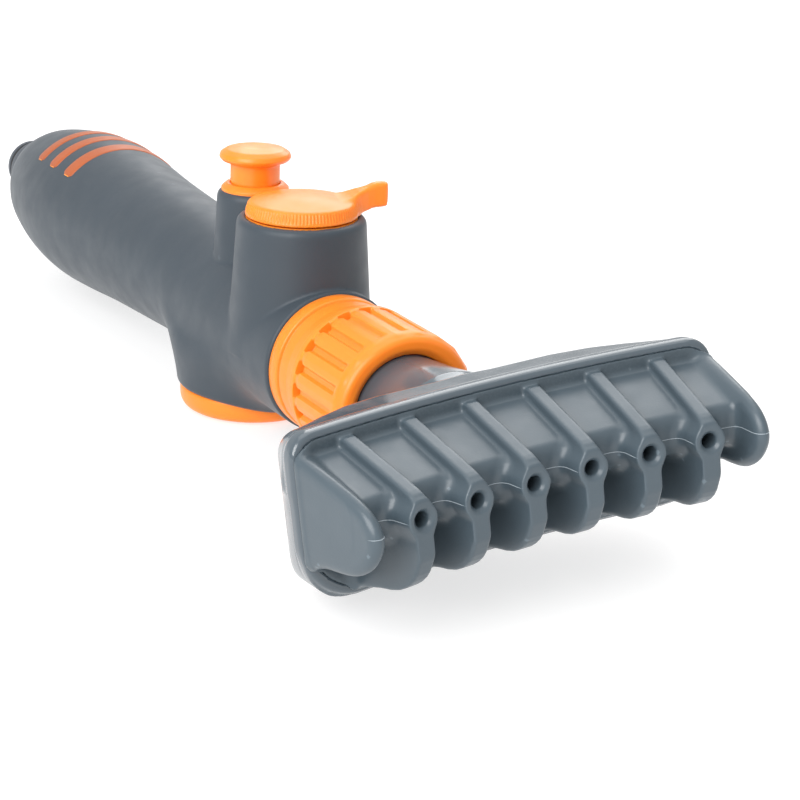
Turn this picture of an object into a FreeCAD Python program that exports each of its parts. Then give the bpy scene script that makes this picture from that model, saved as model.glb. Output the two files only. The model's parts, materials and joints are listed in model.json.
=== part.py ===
import FreeCAD, Part
import math
import os

# Comb-head hose nozzle for rinsing pleated filter cartridges, built as the pieces that it comes apart into.
# Millimetres. +Z up, -Y to the front where the jets are, +X to the right seen from behind.
# The origin is the centre of the inlet plug's shoulder, and the handle is round about the Y axis.

V = FreeCAD.Vector
X_AXIS = V(1, 0, 0)
Y_AXIS = V(0, 1, 0)
Z_AXIS = V(0, 0, 1)

# Stations along the nozzle, measured from the inlet plug's shoulder
PLUG_END = 9.6
SHOULDER_HALF = 3.0
HANDLE_REAR = -6.5
STUB_END = -17.0
WASHER_SEAT = -18.2
HOLLOW_REAR = -20.5
CORE_JOINT = -125.0
JOINT_DEPTH = 7.0
HANDLE_FRONT = -155.0
BODY_REAR = -138.0
PLUNGER_Y = -155.1
DIAL_Y = -180.5
BODY_FRONT = -197.5
COLLAR_FRONT = -209.4
NUT_REAR = -209.8
SPIGOT_END = -222.0
NECK_END = -224.0
NUT_FRONT = -233.0
NOZZLE_Z = -2.0

# Shell sizes
BODY_R = 17.0
SKIN = 2.0
TOWER_TOP_R = 14.9
TOWER_FOOT_R = 16.3
TOWER_TOP_Z = 30.4
BUTTON_TOWER_TOP_R = 9.0
BUTTON_TOWER_FOOT_R = 10.6
BUTTON_TOWER_TOP_Z = 31.2
BUTTON_HEAD_Z = 37.9
SKIRT_R = 18.6
SKIRT_BOTTOM_Z = -17.4
CAP_BOTTOM_Z = -23.2
CAP_R = 18.0
HANDLE_OUTLINE = [(16.9, -128.0), (17.95, -107.0), (19.0, -88.25), (20.45, -69.5), (21.1, -54.5),
                  (20.2, -39.5), (17.8, -24.5), (15.7, -17.0), (13.95, -12.5), (11.85, -8.75),
                  (9.75, HANDLE_REAR)]
STRIPE_STATIONS = [-43.7, -54.5, -65.3]
STRIPE_WIDTH = 2.6
STRIPE_HALF_ANGLE = 48.0
STRIPE_PROUD = 0.15

# Water way
HANDLE_WALL = 2.6
BORE_R = 8.0
JOINT_R = 11.5
STUB_R = 6.6
PLUG_BORE_R = 4.5
SHOULDER_R = 8.75
ROTOR_R = 10.0
ROTOR_BORE_R = 6.5
SPINDLE_R = 4.5
DIAL_SOCKET_DEPTH = 1.4
SLEEVE_R = 10.0
SLEEVE_TOP_Z = 10.4
STEM_R = 6.0
SPOOL_R = 7.5
PLUNGER_TRAVEL = 3.8
RUNNING_GAP = 0.06
BODY_GAP = 0.3

# Coupling and head
LEVER_ANGLE = -11.0
KNURL_GROOVES = 72
NUT_R = 17.0
NUT_HOLE_R = 12.5
NUT_GROOVES = 20
SPIGOT_R = 13.2
NECK_R = 12.0
NECK_GROOVE_R = 11.2
RING_R = 13.3
RING_FRONT = -228.1
RING_REAR = -226.4
HEAD_PITCH = 6.6
HEAD_ROLL = 4.92
HEAD_REACH = 61.5
JET_COUNT = 6
JET_PITCH = 12.75
JET_ARC_R = 202.0
JET_BORE_R = 1.5
FIN_THICKNESS = 3.4
BOSS_R = 3.3
FLANGE_FACE = 24.0
FLANGE_BACK = 26.5
FLANGE_HALF_WIDTH = 47.6
FLANGE_TOP = 14.6
FLANGE_BOTTOM = -19.5
RIM_WIDTH = 1.6
RIM_DEPTH = 2.0
HEAD_WALL = 2.4
BELLY_DROP = 2.2
GALLERY_ANGLE = 12.0
GUARD_TOE_IN = 8.2
GUARD_ROOT = (46.0, 19.5)
GUARD_THICKNESS = 3.0


def rod_y(radius, front, rear, z=0.0):
    return Part.makeCylinder(radius, rear - front, V(0, front, z), Y_AXIS)


def rod_z(radius, low, high, y):
    return Part.makeCylinder(radius, high - low, V(0, y, low), Z_AXIS)


def cone_z(low_radius, high_radius, low, high, y):
    return Part.makeCone(low_radius, high_radius, high - low, V(0, y, low), Z_AXIS)


def tube_y(outer, inner, front, rear, z=0.0):
    return rod_y(outer, front, rear, z).cut(rod_y(inner, front - 1, rear + 1, z))


def tube_z(outer, inner, low, high, y):
    return rod_z(outer, low, high, y).cut(rod_z(inner, low - 1, high + 1, y))


def ring_y(radius, section, y, z=0.0):
    return Part.makeTorus(radius, section, V(0, y, z), Y_AXIS)


def ring_z(radius, section, z, y):
    return Part.makeTorus(radius, section, V(0, y, z), Z_AXIS)


def block(low, high):
    size = [b - a for a, b in zip(low, high)]
    return Part.makeBox(size[0], size[1], size[2], V(*low))


def spun_y(points, z=0.0):
    """A solid turned about the Y axis from corners given as (radius, y)."""
    corners = [V(r, y, z) for r, y in points]
    face = Part.Face(Part.makePolygon(corners + corners[:1]))
    return face.revolve(V(0, 0, z), Y_AXIS, 360)


def spun_z(points, y):
    """A solid turned about the vertical axis at y from corners given as (radius, z)."""
    corners = [V(r, y, z) for r, z in points]
    face = Part.Face(Part.makePolygon(corners + corners[:1]))
    return face.revolve(V(0, y, 0), Z_AXIS, 360)


def plate(outline, thickness, across):
    """A flat plate across X: outline corners are (w, v) and it is centred on x = across."""
    corners = [V(across - thickness / 2, w, v) for w, v in outline]
    return Part.Face(Part.makePolygon(corners + corners[:1])).extrude(V(thickness, 0, 0))


def fused(shapes):
    """One solid with the seams between its members removed."""
    return shapes[0].fuse(shapes[1:]).removeSplitter()


def edges_where(shape, test):
    return [edge for edge in shape.Edges if test(edge)]


def handle_solid(skin):
    """The handle as a turned solid, `skin` below the grip's surface."""
    radii = [(r - skin, y) for r, y in HANDLE_OUTLINE]
    curve = Part.BSplineCurve()
    curve.interpolate([V(r, y, 0) for r, y in radii])
    first, last = radii[0], radii[-1]
    taper = 3.0
    corners = [V(last[0], last[1], 0), V(0, last[1], 0), V(0, HANDLE_FRONT, 0),
               V(first[0] - taper, HANDLE_FRONT, 0), V(first[0], HANDLE_FRONT + 3 * taper, 0),
               V(first[0], first[1], 0)]
    edges = [Part.makeLine(a, b) for a, b in zip(corners, corners[1:])]
    return Part.Face(Part.Wire([curve.toShape()] + edges)).revolve(V(0, 0, 0), Y_AXIS, 360)


def body_solid(skin, reach):
    """Outlet barrel, both towers and the skirt, `skin` below the surface, open ends `reach` longer."""
    top, foot = TOWER_TOP_R - skin, TOWER_FOOT_R - skin
    slope = (foot - top) / TOWER_TOP_Z
    tower = cone_z(foot, top - slope * reach, 0, TOWER_TOP_Z + reach, DIAL_Y)
    top, foot = BUTTON_TOWER_TOP_R - skin, BUTTON_TOWER_FOOT_R - skin
    slope = (foot - top) / BUTTON_TOWER_TOP_Z
    button_tower = cone_z(foot, top - slope * reach, 0, BUTTON_TOWER_TOP_Z + reach, PLUNGER_Y)
    barrel = rod_y(BODY_R - skin, BODY_FRONT - reach, BODY_REAR - skin)
    skirt = rod_z(SKIRT_R - skin, SKIRT_BOTTOM_Z - reach, 2, PLUNGER_Y)
    return placed_on_nozzle(fused([barrel, tower, button_tower, skirt]))


def placed_on_nozzle(shape):
    """Moves a shape made about the handle's axis down to the outlet's own axis."""
    moved = shape.copy()
    moved.translate(V(0, 0, NOZZLE_Z))
    return moved


def stripe_bars():
    """Three raised bars over the top of the handle, each a slice of the handle's own surface."""
    outer = handle_solid(-STRIPE_PROUD)
    inner = handle_solid(SKIN + 0.5)
    half, reach = math.radians(STRIPE_HALF_ANGLE), 30
    side, up = reach * math.sin(half), reach * math.cos(half)
    bars = []
    for station in STRIPE_STATIONS:
        low = station - STRIPE_WIDTH / 2
        corners = [V(0, low, 0), V(-side, low, up), V(0, low, reach * 1.5), V(side, low, up)]
        wedge = Part.Face(Part.makePolygon(corners + corners[:1])).extrude(V(0, STRIPE_WIDTH, 0))
        bars.append(outer.common(wedge).cut(inner))
    return bars


def handle_core():
    """Hollow orange core: a spigot that enters the valve body, the hollow, and the plug's seat."""
    core = handle_solid(SKIN).cut(block((-40, HANDLE_FRONT - 1, -40), (40, CORE_JOINT, 40)))
    way_r = JOINT_R - 2.0
    wall = [(r - SKIN - HANDLE_WALL, y) for r, y in HANDLE_OUTLINE if CORE_JOINT < y < HOLLOW_REAR]
    hollow = spun_y([(0, CORE_JOINT - 1), (way_r, CORE_JOINT - 1), (way_r, CORE_JOINT + 4)] + wall
                    + [(wall[-1][0] - 1.2, HOLLOW_REAR), (0, HOLLOW_REAR)])
    joint = tube_y(JOINT_R, way_r, CORE_JOINT - JOINT_DEPTH, CORE_JOINT)
    solid = fused([core.cut(hollow), joint] + stripe_bars())
    return solid.cut([rod_y(STUB_R, WASHER_SEAT, HANDLE_REAR + 1),
                      rod_y(PLUG_BORE_R + 0.4, HOLLOW_REAR - 1, WASHER_SEAT + 1)])


def valve_body():
    """Orange core of the body: bores for the valve, the rotor, the collar and the handle's spigot."""
    shell = fused([body_solid(SKIN, 0), handle_solid(SKIN)])
    shell = shell.cut(block((-40, CORE_JOINT, -40), (40, 0, 40)))
    rear_way = rod_y(JOINT_R - 2.0, PLUNGER_Y, CORE_JOINT + 1)
    rear_socket = rod_y(JOINT_R, CORE_JOINT - JOINT_DEPTH, CORE_JOINT + 1)
    bores = [
        rod_y(BORE_R, BODY_FRONT - 1, PLUNGER_Y),
        rod_y(JOINT_R, BODY_FRONT - 1, BODY_FRONT + 6),
        rod_z(ROTOR_R, -10.5, TOWER_TOP_Z + 1, DIAL_Y),
        rod_z(SLEEVE_R, SKIRT_BOTTOM_Z - 1, SLEEVE_TOP_Z, PLUNGER_Y),
        rod_z(STEM_R + RUNNING_GAP, SLEEVE_TOP_Z - 1, BUTTON_TOWER_TOP_Z + 1, PLUNGER_Y),
    ]
    return shell.cut([rear_way, rear_socket] + [placed_on_nozzle(b) for b in bores])


def grip_overmould():
    outside = fused([body_solid(0, 0), handle_solid(0)])
    core = body_solid(SKIN, 1).fuse(handle_solid(SKIN))
    rear_mouth = rod_y(HANDLE_OUTLINE[-1][0] - SKIN, HANDLE_REAR - 1, HANDLE_REAR + 1)
    return outside.cut([core, rear_mouth] + stripe_bars())


def inlet_plug():
    """Push-in hose plug: the stub in the handle, the waist a coupling latches on, shoulder and nose."""
    half, nose = SHOULDER_HALF, 7.8
    outline = [(PLUG_BORE_R, STUB_END), (STUB_R, STUB_END), (STUB_R, HANDLE_REAR), (7.0, HANDLE_REAR),
               (7.0, -half - 0.9), (SHOULDER_R, -half), (SHOULDER_R, half), (nose, half + 0.9),
               (nose, 5.0), (6.5, 5.1), (6.5, 6.9), (nose, 7.0), (nose, PLUG_END - 1.1),
               (7.05, PLUG_END), (5.3, PLUG_END), (5.3, PLUG_END - 1.6), (PLUG_BORE_R, PLUG_END - 1.6)]
    return spun_y(outline)


def inlet_washer():
    return tube_y(STUB_R - 0.1, PLUG_BORE_R + 0.4, WASHER_SEAT, STUB_END)


def inlet_oring():
    return ring_y(7.2, 0.7, 6.0)


def inlet_filter():
    """Cup strainer in the plug's bore: a rim on the bore's step and a slotted basket."""
    rim_rear = PLUG_END - 0.6
    basket = tube_y(PLUG_BORE_R - 0.1, 3.6, -6.0, PLUG_END - 1.6).fuse(rod_y(PLUG_BORE_R - 0.1, -7.0, -6.0))
    rim = tube_y(5.3, 3.6, PLUG_END - 1.6, rim_rear)
    slots = []
    for turn in range(0, 360, 45):
        slot = block((-0.6, -4.5, 0), (0.6, 5.5, 6))
        slot.rotate(V(0, 0, 0), Y_AXIS, turn)
        slots.append(slot)
    return fused([basket, rim]).cut(slots)


def outlet_collar():
    """Two-step ring on the front of the body, with the male threaded spigot that the nut screws on."""
    front, rear = COLLAR_FRONT, BODY_FRONT
    outline = [(BORE_R, rear + 6), (JOINT_R, rear + 6), (JOINT_R, rear), (16.1, rear), (16.1, rear - 3.6),
               (15.4, rear - 4.2), (15.4, rear - 5.0), (15.8, rear - 5.4), (15.8, front + 0.5),
               (15.3, front), (12.6, front), (12.6, SPIGOT_END + 0.6), (12.0, SPIGOT_END),
               (BORE_R, SPIGOT_END)]
    crests = [ring_band(SPIGOT_R, 12.5, COLLAR_FRONT - 2.8 - 1.8 * turn) for turn in range(5)]
    return placed_on_nozzle(fused([spun_y(outline)] + crests))


def ring_band(outer, inner, y):
    """One crest of the spigot's thread, as a ring with sloping flanks."""
    return spun_y([(inner, y - 0.7), (outer, y - 0.15), (outer, y + 0.15), (inner, y + 0.7)])


def coupling_nut():
    """Nut with lands all round, and an inner lip that draws the head's retaining ring."""
    land_r, bore_r = NUT_R, RING_R + BODY_GAP
    lip_rear = RING_FRONT - BODY_GAP
    outline = [(bore_r, NUT_REAR), (17.1, NUT_REAR), (17.1, NUT_REAR - 1.6), (land_r, NUT_REAR - 2.2),
               (16.9, NUT_FRONT + 2.2), (16.2, NUT_FRONT + 0.7), (15.2, NUT_FRONT), (13.2, NUT_FRONT),
               (NUT_HOLE_R, NUT_FRONT + 0.7), (NUT_HOLE_R, lip_rear), (bore_r, lip_rear)]
    cutter_r, cutter_out, groove_front, groove_rear = 1.7, 0.75, NUT_FRONT + 3.6, NUT_REAR - 2.2
    grooves = []
    for turn in range(NUT_GROOVES):
        groove = rod_y(cutter_r, groove_front, groove_rear, land_r + cutter_out)
        groove.rotate(V(0, 0, 0), Y_AXIS, 360.0 / NUT_GROOVES * turn)
        grooves.append(groove)
    return placed_on_nozzle(spun_y(outline).cut(grooves))


def retaining_ring():
    """Split ring in the neck's groove."""
    ring = tube_y(RING_R, NECK_GROOVE_R + RUNNING_GAP, RING_FRONT, RING_REAR)
    split = block((-1.2, RING_FRONT - 1, 9), (1.2, RING_REAR + 1, 15))
    return placed_on_nozzle(ring.cut(split))


def head_washer():
    return placed_on_nozzle(tube_y(12.2, BORE_R + 0.4, NECK_END + 0.15, SPIGOT_END - 0.15))


def placed_on_head(shape):
    """From the head's own frame to the nozzle: w runs back from the middle jet, v is up."""
    moved = shape.copy()
    moved.translate(V(0, -HEAD_REACH, 0))
    moved.rotate(V(0, 0, 0), X_AXIS, -HEAD_PITCH)
    moved.rotate(V(0, 0, 0), Y_AXIS, -HEAD_ROLL)
    moved.translate(V(0, NUT_FRONT, NOZZLE_Z))
    return moved


def arc_shell(inner, outer, low=-60, high=60):
    """Upright cylinder wall about the point that the jets aim at, from w = inner to w = outer."""
    centre = V(0, -JET_ARC_R, low)
    wall = Part.makeCylinder(JET_ARC_R + outer, high - low, centre, Z_AXIS)
    return wall.cut(Part.makeCylinder(JET_ARC_R + inner, high - low, centre, Z_AXIS))


def flange_prism(inset, drop=0.0):
    """The head's outline seen from the front, as a deep prism along w; `drop` lowers its belly."""
    half, top, bottom = FLANGE_HALF_WIDTH - inset, FLANGE_TOP - inset, FLANGE_BOTTOM + inset - drop
    corner, belly = 5.0 - inset / 2, 13.0
    low = block((-half, 0, bottom), (half, 90, top))
    upright = edges_where(low, lambda e: e.Vertexes[0].Y != e.Vertexes[-1].Y)
    upper = [e for e in upright if e.CenterOfMass.z > 0]
    lower = [e for e in upright if e.CenterOfMass.z < 0]
    return low.makeFillet(corner, upper).makeFillet(belly, lower)


FAN_PLAN = [(46.6, 23.4), (44.4, 30.5), (37.5, 42.0), (22.5, 48.0), (12.0, 54.0), (9.0, 57.0)]
DECK_PLAN = [(46.6, 22.6), (41.7, 25.6), (35.2, 30.5), (28.6, 33.8), (20.0, 35.6)]


def fan_prism(plan, skin):
    """Upright prism over a plan given as half of its outline, from the side to the rear."""
    right = [(x - skin, w - skin) for x, w in [(plan[0][0], skin)] + plan]
    left = [(-x, w) for x, w in reversed(right)]
    corners = [V(x, w, -60) for x, w in right + left]
    return Part.Face(Part.makePolygon(corners + corners[:1])).extrude(V(0, 0, 120))


def fan_solid(skin):
    """The water box behind the flange: a wedge in side view with a flatter deck over its front part."""
    edge = 0.4
    top = FLANGE_TOP - edge - skin
    side = [(10, top), (FLANGE_FACE, top), (34, 10.8 - skin), (57 - skin, 5.0 - skin), (57 - skin, -9.0 + skin),
            (30, -21.2 + skin), (24, -20.2 + skin), (10, FLANGE_BOTTOM + skin)]
    wedge = plate(side, 2 * FLANGE_HALF_WIDTH, 0).common(fan_prism(FAN_PLAN, skin))
    deck_side = [(10, top), (FLANGE_FACE, top), (40, top - 1.0), (40, 0), (10, 0)]
    deck = plate(deck_side, 2 * FLANGE_HALF_WIDTH, 0).common(fan_prism(DECK_PLAN, skin))
    return wedge.fuse(deck).common(flange_prism(edge + skin, drop=BELLY_DROP))


def head_manifold():
    """Rear half of the head: neck, water box and the rim that the front plate is let into."""
    straight = placed_on_nozzle(rod_y(NECK_R, NUT_FRONT, NECK_END))
    ball = Part.makeSphere(NECK_R, V(0, NUT_FRONT, NOZZLE_Z))
    bend = ball.common(block((-20, NUT_FRONT - 20, -20), (20, NUT_FRONT, 20)))
    neck_foot = Part.makeCone(9.3, NECK_R, 9.0, V(0, 33, 0), Y_AXIS)
    tilted = placed_on_head(neck_foot.fuse(rod_y(NECK_R, 42, HEAD_REACH)))
    fan = placed_on_head(fan_solid(0).common(arc_shell(FLANGE_BACK - 0.5, 90)))
    flange = placed_on_head(flange_prism(0).common(arc_shell(FLANGE_FACE - RIM_DEPTH, FLANGE_BACK)))
    solid = fused([straight, bend, tilted, fan, flange])
    recess = placed_on_head(flange_prism(RIM_WIDTH).common(arc_shell(FLANGE_FACE - 4.0, FLANGE_FACE)))
    hollow = placed_on_head(fan_solid(HEAD_WALL).common(arc_shell(FLANGE_FACE - 1, 90)))
    way_r = BORE_R + 0.5
    way = [placed_on_nozzle(rod_y(way_r, NUT_FRONT, NECK_END + 1)),
           Part.makeSphere(way_r, V(0, NUT_FRONT, NOZZLE_Z)),
           placed_on_head(rod_y(way_r, 44, HEAD_REACH))]
    groove = placed_on_nozzle(tube_y(NECK_R + 1, NECK_GROOVE_R, RING_FRONT - 0.15, RING_REAR + 0.15))
    return solid.cut([recess, hollow, groove] + way)


FIN_OUTLINE = [(24.0, 11.0), (1.6, 4.9), (0.0, 3.4), (0.0, -7.0), (1.6, -10.5), (4.4, -13.4), (8.4, -15.2),
               (15.0, -16.0), (24.0, -18.0)]
GALLERY_OUTLINE = [(24.0, 10.9), (21.6, 10.4), (8.6, 5.4), (7.5, 5.1), (6.6, 4.4), (6.2, 2.8), (6.6, 1.4),
                   (6.6, -1.5), (9.0, -4.5), (24.0, -6.0)]
CHANNEL_OUTLINE = [(30.0, 7.5), (12.0, 3.0), (9.5, 2.2), (9.5, -2.2), (30.0, -3.2)]
GUARD_OUTLINE = [(24.0, 12.6), (18.5, 10.8), (13.0, 8.8), (5.8, 6.7), (-1.3, 5.0), (-3.9, 3.7), (-5.2, 2.4),
                 (-6.3, 0.5), (-6.3, -1.0), (-5.0, -3.8), (-3.0, -6.0), (-1.3, -7.3), (2.5, -8.9),
                 (6.0, -9.4), (12.8, -9.6), (18.5, -12.0), (24.0, -16.0)]


def on_arc(shape, angle):
    """Turns a piece about the point that the jets aim at."""
    turned = shape.copy()
    turned.rotate(V(0, -JET_ARC_R, 0), Z_AXIS, angle)
    return turned


def jet_angles():
    step = math.degrees(JET_PITCH / JET_ARC_R)
    return [step * (i - (JET_COUNT - 1) / 2) for i in range(JET_COUNT)]


def fin():
    """One jet fin: a narrow rib above, a round boss round the jet, a rounded keel below."""
    rib = plate(FIN_OUTLINE, FIN_THICKNESS, 0)
    boss = Part.makeCylinder(BOSS_R, FLANGE_FACE, V(0, 0, 0), Y_AXIS)
    return rib.fuse(boss)


def jet_bore():
    chamfer = Part.makeCone(2.3, JET_BORE_R, 0.8, V(0, -0.01, 0), Y_AXIS)
    return Part.makeCylinder(JET_BORE_R, 40, V(0, -1, 0), Y_AXIS).fuse(chamfer)


def swept_on_arc(outline, half_angle):
    """A section given as (w, v) swept along the head's front arc."""
    corners = [V(0, w, v) for w, v in outline]
    section = Part.Face(Part.makePolygon(corners + corners[:1]))
    section.rotate(V(0, -JET_ARC_R, 0), Z_AXIS, -half_angle)
    return section.revolve(V(0, -JET_ARC_R, 0), Z_AXIS, 2 * half_angle)


def end_guard(side):
    """Straight plate at one end of the head, toed in towards its tip."""
    guard = plate(GUARD_OUTLINE, GUARD_THICKNESS, 0)
    across, root_w = GUARD_ROOT
    guard.rotate(V(0, root_w, 0), Z_AXIS, -side * GUARD_TOE_IN)
    guard.translate(V(side * across, 0, 0))
    return guard


def comb_front():
    """Front half of the head: plate, water gallery, six jet fins and the two end guards."""
    cover = flange_prism(RIM_WIDTH).common(arc_shell(FLANGE_FACE - RIM_DEPTH, FLANGE_FACE))
    gallery = swept_on_arc(GALLERY_OUTLINE, GALLERY_ANGLE)
    fins = [on_arc(fin(), angle) for angle in jet_angles()]
    guards = [end_guard(side) for side in (-1, 1)]
    solid = fused([cover, gallery] + fins + guards).common(arc_shell(-40, FLANGE_FACE))
    rim = flange_prism(-5.0).cut(flange_prism(RIM_WIDTH)).common(arc_shell(FLANGE_FACE - RIM_DEPTH, 40))
    channel = swept_on_arc(CHANNEL_OUTLINE, GALLERY_ANGLE - 0.8)
    jets = [on_arc(jet_bore(), angle) for angle in jet_angles()]
    return placed_on_head(solid.cut([rim, channel] + jets))


def bottom_cap():
    spigot_r, groove_r = SLEEVE_R - 0.1, 8.7
    outline = [(0, -21.2), (7.4, -21.2), (7.4, -13.4), (spigot_r, -13.4), (spigot_r, -14.2), (groove_r, -14.2),
               (groove_r, -16.4), (spigot_r, -16.4), (spigot_r, SKIRT_BOTTOM_Z), (CAP_R - 0.5, SKIRT_BOTTOM_Z),
               (CAP_R, SKIRT_BOTTOM_Z - 0.5), (CAP_R, CAP_BOTTOM_Z + 1.6), (CAP_R - 0.5, CAP_BOTTOM_Z + 0.5),
               (CAP_R - 1.6, CAP_BOTTOM_Z), (12.0, CAP_BOTTOM_Z), (11.4, CAP_BOTTOM_Z + 0.6),
               (0, CAP_BOTTOM_Z + 0.6)]
    slot = block((-8, PLUNGER_Y - 0.9, CAP_BOTTOM_Z - 1), (8, PLUNGER_Y + 0.9, CAP_BOTTOM_Z + 1.4))
    return placed_on_nozzle(spun_z(outline, PLUNGER_Y).cut(slot))


def bottom_cap_seal():
    return placed_on_nozzle(ring_z(9.34, 0.6, -15.3, PLUNGER_Y))


def plunger_button():
    """Mushroom button on a round stem, with a blind hole for the spool's peg."""
    head = BUTTON_HEAD_Z
    outline = [(0, 14.0), (STEM_R, 14.0), (STEM_R, head), (8.0, head + 0.4), (8.5, head + 0.8),
               (8.6, head + 1.3), (8.4, head + 2.0), (7.6, head + 2.6), (4.0, head + 2.9), (0, head + 3.0)]
    return placed_on_nozzle(spun_z(outline, PLUNGER_Y).cut(rod_z(3.0, 13, 22, PLUNGER_Y)))


def plunger_bezel():
    top = BUTTON_TOWER_TOP_Z
    inner = STEM_R + BODY_GAP
    outline = [(inner, top), (8.1, top), (8.1, top + 0.4), (6.9, top + 1.6), (inner, top + 1.6)]
    return placed_on_nozzle(spun_z(outline, PLUNGER_Y))


def valve_spool():
    """Sliding spool: a waist that joins the two ports when it is pressed down."""
    outline = [(0, -9.0), (SPOOL_R, -9.0), (SPOOL_R, -7.4), (6.5, -7.4), (6.5, -5.4), (SPOOL_R, -5.4),
               (SPOOL_R, 2.4), (4.5, 2.8), (4.5, 5.0), (SPOOL_R, 5.4), (SPOOL_R, 6.0), (6.5, 6.0),
               (6.5, 8.0), (SPOOL_R, 8.0), (SPOOL_R, 9.4), (STEM_R, 9.8), (STEM_R, 14.0), (3.0, 14.0),
               (3.0, 21.5), (0, 21.5)]
    return placed_on_nozzle(spun_z(outline, PLUNGER_Y))


def spool_seals():
    rings = [ring_z(7.03, 0.48, z, PLUNGER_Y) for z in (-6.4, 7.0)]
    return Part.makeCompound([placed_on_nozzle(r) for r in rings])


def valve_sleeve():
    """Ported sleeve that the spool slides in."""
    sleeve = tube_z(SLEEVE_R, SPOOL_R + RUNNING_GAP, -13.2, SLEEVE_TOP_Z, PLUNGER_Y)
    port = block((-4.5, PLUNGER_Y - 12, -1.5), (4.5, PLUNGER_Y + 12, 1.5))
    return placed_on_nozzle(sleeve.cut(port))


def plunger_spring():
    """Return spring between the bottom cap and the spool."""
    wire_r, coil_r, low, high, turns = 0.5, 5.4, -20.6, -9.6, 5
    helix = Part.makeHelix((high - low) / turns, high - low, coil_r)
    section = Part.Wire(Part.makeCircle(wire_r, V(coil_r, 0, 0), Y_AXIS))
    spring = Part.Wire(helix.Edges).makePipeShell([section], True, True)
    spring.translate(V(0, PLUNGER_Y, low))
    return placed_on_nozzle(spring)


def flow_dial():
    """Knurled dial with a shallow dome, and the finger lever on its edge."""
    low = TOWER_TOP_Z + BODY_GAP
    outline = [(0, low), (12.9, low), (13.1, low + 0.3), (12.5, low + 2.9), (12.2, low + 3.2),
               (8.0, low + 3.9), (4.0, low + 4.2), (0, low + 4.3)]
    dial = spun_z(outline, DIAL_Y)
    grooves = []
    for turn in range(KNURL_GROOVES):
        groove = Part.makeCylinder(0.22, 2.2, V(12.98, DIAL_Y, low + 0.7), V(-0.21, 0, 1))
        groove.rotate(V(0, DIAL_Y, 0), Z_AXIS, 360.0 / KNURL_GROOVES * turn)
        grooves.append(groove)
    dial = dial.cut(grooves)
    side = [(8.0, low), (14.2, low), (15.4, low + 0.3), (16.6, low + 0.9), (20.0, low + 1.2),
            (20.4, low + 1.6), (20.4, low + 6.5), (20.0, low + 6.9), (17.4, low + 6.9), (15.6, low + 6.3),
            (11.0, low + 5.3), (8.0, low + 4.1)]
    corners = [V(x, DIAL_Y - 6, z) for x, z in side]
    lever = Part.Face(Part.makePolygon(corners + corners[:1])).extrude(V(0, 12, 0))
    half_plan = [(7.0, 4.2), (12.6, 3.4), (14.6, 2.2), (16.4, 1.6), (21.0, 1.5)]
    plan = half_plan + [(x, -y) for x, y in reversed(half_plan)]
    corners = [V(x, DIAL_Y + y, 0) for x, y in plan]
    lever = lever.common(Part.Face(Part.makePolygon(corners + corners[:1])).extrude(V(0, 0, 60)))
    lever.rotate(V(0, DIAL_Y, 0), Z_AXIS, LEVER_ANGLE)
    socket = rod_z(SPINDLE_R, low - 1, low + DIAL_SOCKET_DEPTH, DIAL_Y)
    return placed_on_nozzle(dial.fuse(lever).removeSplitter().cut(socket))


def dial_rotor():
    """Rotary plug under the dial: a cross bore, two seal grooves and the spindle the dial sits on."""
    r, groove_r, top = ROTOR_R - RUNNING_GAP, 8.9, TOWER_TOP_Z + BODY_GAP + DIAL_SOCKET_DEPTH
    outline = [(0, -10.2), (r, -10.2), (r, 13.0), (groove_r, 13.0), (groove_r, 15.2), (r, 15.2), (r, 17.4),
               (groove_r, 17.4), (groove_r, 19.6), (r, 19.6), (r, 22.0), (SPINDLE_R, 22.0), (SPINDLE_R, top),
               (0, top)]
    return placed_on_nozzle(spun_z(outline, DIAL_Y).cut(rod_y(ROTOR_BORE_R, DIAL_Y - 12, DIAL_Y + 12)))


def rotor_seals():
    rings = [ring_z(9.45, 0.5, z, DIAL_Y) for z in (14.1, 18.5)]
    return Part.makeCompound([placed_on_nozzle(r) for r in rings])


def rotor_retainer():
    """Pressed ring that keeps the rotor in its bore."""
    return placed_on_nozzle(tube_z(ROTOR_R, SPINDLE_R + RUNNING_GAP, 22.3, 26.0, DIAL_Y))


NODES = {
    "handle_core": handle_core,
    "valve_body": valve_body,
    "grip_overmould": grip_overmould,
    "inlet_plug": inlet_plug,
    "inlet_washer": inlet_washer,
    "inlet_oring": inlet_oring,
    "inlet_filter": inlet_filter,
    "outlet_collar": outlet_collar,
    "coupling_nut": coupling_nut,
    "retaining_ring": retaining_ring,
    "head_washer": head_washer,
    "head_manifold": head_manifold,
    "comb_front": comb_front,
    "bottom_cap": bottom_cap,
    "bottom_cap_seal": bottom_cap_seal,
    "plunger_button": plunger_button,
    "plunger_bezel": plunger_bezel,
    "valve_spool": valve_spool,
    "spool_seals": spool_seals,
    "valve_sleeve": valve_sleeve,
    "plunger_spring": plunger_spring,
    "flow_dial": flow_dial,
    "dial_rotor": dial_rotor,
    "rotor_seals": rotor_seals,
    "rotor_retainer": rotor_retainer,
}

os.makedirs("parts", exist_ok=True)
for name, make in NODES.items():
    shape = make()
    shape.exportStep(f"parts/{name}.step")
    box = shape.BoundBox
    print(f"{name:18s} solids {len(shape.Solids)} valid {shape.isValid()} volume {shape.Volume:9.0f}  "
          f"x {box.XMin:7.1f} {box.XMax:6.1f}  y {box.YMin:7.1f} {box.YMax:7.1f}  z {box.ZMin:6.1f} {box.ZMax:6.1f}")
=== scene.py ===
"""Looks of the comb-head hose nozzle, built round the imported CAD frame. Lengths are in mm."""

import json
import math

import bpy
import numpy as np
from mathutils import Matrix, Vector


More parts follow.
